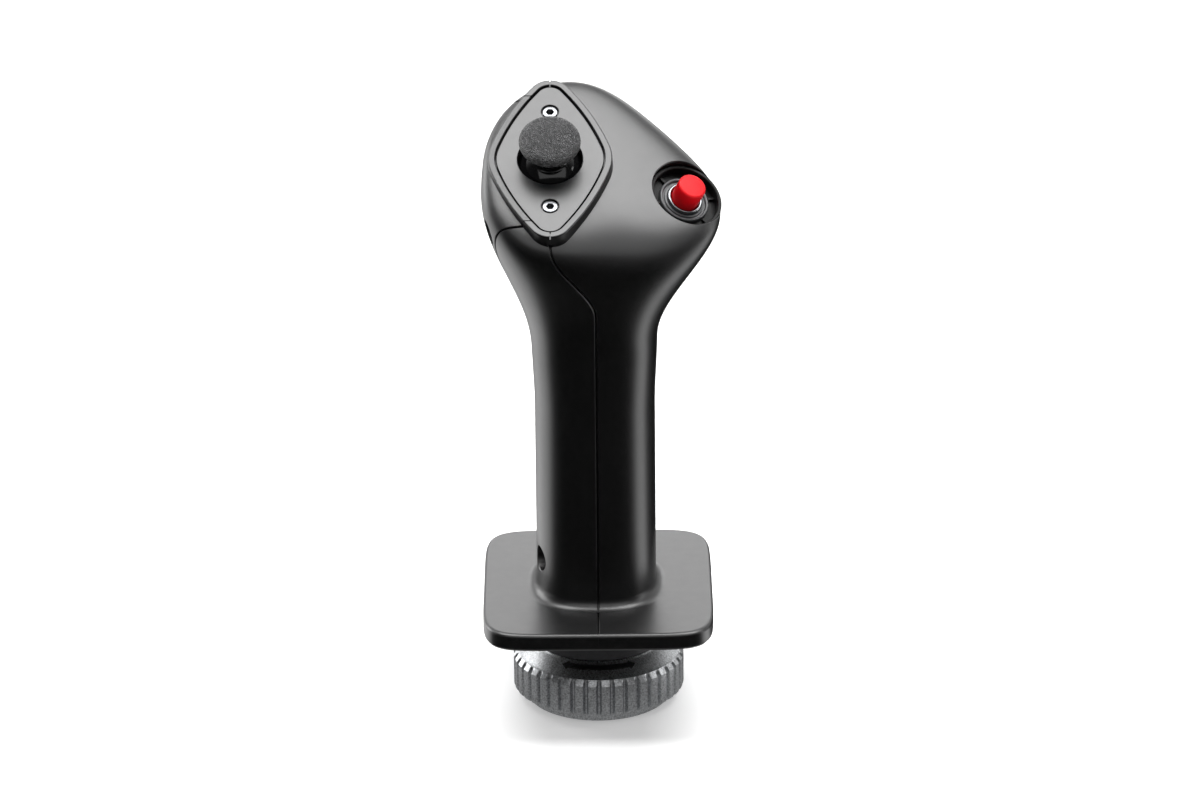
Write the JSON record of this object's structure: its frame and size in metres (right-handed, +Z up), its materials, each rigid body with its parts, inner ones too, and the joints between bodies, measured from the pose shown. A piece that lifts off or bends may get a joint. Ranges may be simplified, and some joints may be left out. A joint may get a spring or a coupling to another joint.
{
  "type": "flight joystick",
  "caption": "One-hand flight stick grip with thumbstick, red push button, trigger, flared hand rest and a knurled locking ring below.",
  "frame": {"origin": "on the coupling ring's axis, at the ring's lower edge", "axes": "+Z up along the grip's column, -Y towards the pilot, +X to the pilot's right"},
  "size_m": [0.0668, 0.074, 0.175],
  "materials": {
    "shell_plastic": "satin moulded, fine spark texture",
    "panel_plastic": "coarser moulded grain",
    "plate_plastic": "satin moulded",
    "cap_rubber": "pebbled rubber",
    "dome_plastic": "polished black",
    "button_red": "glossy red",
    "cup_plastic": "matt black",
    "collar_grey": "grey moulded",
    "bushing_metal": "dark plated",
    "trigger_plastic": "satin moulded",
    "screw_steel": "black oxide steel",
    "zinc_steel": "zinc plated",
    "spring_steel": "bright spring wire",
    "ring_aluminium": "bead-blasted and clear anodised",
    "core_metal": "black die-cast",
    "nylon": "natural nylon",
    "stem_metal": "dark steel",
    "black_nylon": "glass-filled nylon",
    "red_plastic": "moulded",
    "sensor_blue": "moulded",
    "circuit_board": "green solder mask",
    "contact_brass": "gold flashed",
    "ribbon_red": "PVC",
    "ribbon_blue": "PVC"
  },
  "bodies": {
    "grip": {"left_shell": "shell_plastic", "right_shell": "shell_plastic", "side_panel": "panel_plastic", "shell_screws": "screw_steel", "thumb_plate": "plate_plastic", "thumb_plate_screws": "screw_steel", "gimbal_housing": "zinc_steel", "tilt_sensor_x": "sensor_blue", "tilt_sensor_y": "sensor_blue", "centring_spring": "spring_steel", "stick_board": "circuit_board", "stick_board_screws": "zinc_steel", "button_cup": "cup_plastic", "button_collar": "collar_grey", "button_bushing": "bushing_metal", "button_spring": "spring_steel", "button_nut": "bushing_metal", "button_switch": "black_nylon", "button_terminals": "contact_brass", "trigger_pin": "zinc_steel", "trigger_spring": "spring_steel", "trigger_bracket": "zinc_steel", "bracket_screws": "zinc_steel", "trigger_switch": "black_nylon", "control_board": "circuit_board", "board_chips": "black_nylon", "board_headers": "nylon", "board_screws": "zinc_steel", "base_harness": "ribbon_red", "head_harness": "ribbon_blue", "mount_core": "core_metal", "ring_retainer": "zinc_steel", "retainer_screws": "zinc_steel", "wave_washer": "zinc_steel", "connector_body": "black_nylon", "connector_pins": "contact_brass"},
    "coupling_ring": {"lock_ring": "ring_aluminium"},
    "cradle": {"gimbal_cradle": "nylon"},
    "stick": {"gimbal_pivot": "nylon", "thumbstick_stem": "stem_metal", "thumbstick_dome": "dome_plastic", "thumbstick_cap": "cap_rubber"},
    "yoke": {"gimbal_yoke": "zinc_steel"},
    "button": {"button_cap": "button_red", "button_plunger": "nylon"},
    "trigger": {"trigger": "trigger_plastic"},
    "switch_plunger": {"trigger_switch_plunger": "red_plastic"}
  },
  "joints": [
    {"name": "lock_ring_spin", "type": "hinge", "parent": "grip", "child": "coupling_ring", "pos_m": [0, 0, 0.008], "axis": [0, 0, 1], "continuous": true},
    {"name": "thumbstick_tilt_x", "type": "hinge", "parent": "grip", "child": "cradle", "pos_m": [-0.012, 0.00215, 0.15243], "axis": [1, 0, 0], "range_deg": [-15, 15], "stiffness_Nm_per_rad": 0.15},
    {"name": "thumbstick_tilt_y", "type": "hinge", "parent": "cradle", "child": "stick", "pos_m": [-0.012, 0.00215, 0.15243], "axis": [0, 0.8572, 0.515], "range_deg": [-15, 15], "stiffness_Nm_per_rad": 0.15},
    {"name": "yoke_follow", "type": "hinge", "parent": "grip", "child": "yoke", "pos_m": [-0.012, 0.00215, 0.15243], "axis": [0, 0.8572, 0.515], "range_deg": [-15, 15]},
    {"name": "button_press", "type": "slide", "parent": "grip", "child": "button", "axis": [-0.3308, 0.5192, -0.788], "range_m": [0, 0.0016], "stiffness_N_per_m": 900, "springref_m": -0.001},
    {"name": "trigger_pull", "type": "hinge", "parent": "grip", "child": "trigger", "pos_m": [0, 0.0175, 0.144], "axis": [-1, 0, 0], "range_deg": [0, 10], "stiffness_Nm_per_rad": 0.3, "springref_deg": -8.59},
    {"name": "trigger_switch_press", "type": "slide", "parent": "grip", "child": "switch_plunger", "axis": [0, -1, 0], "range_m": [0, 0.0017]}
  ],
  "couplings": [
    {"joint": "yoke_follow", "follows": "thumbstick_tilt_y", "ratio": 1},
    {"joint": "trigger_switch_press", "follows": "trigger_pull", "m_per_rad": 0.0094}
  ]
}
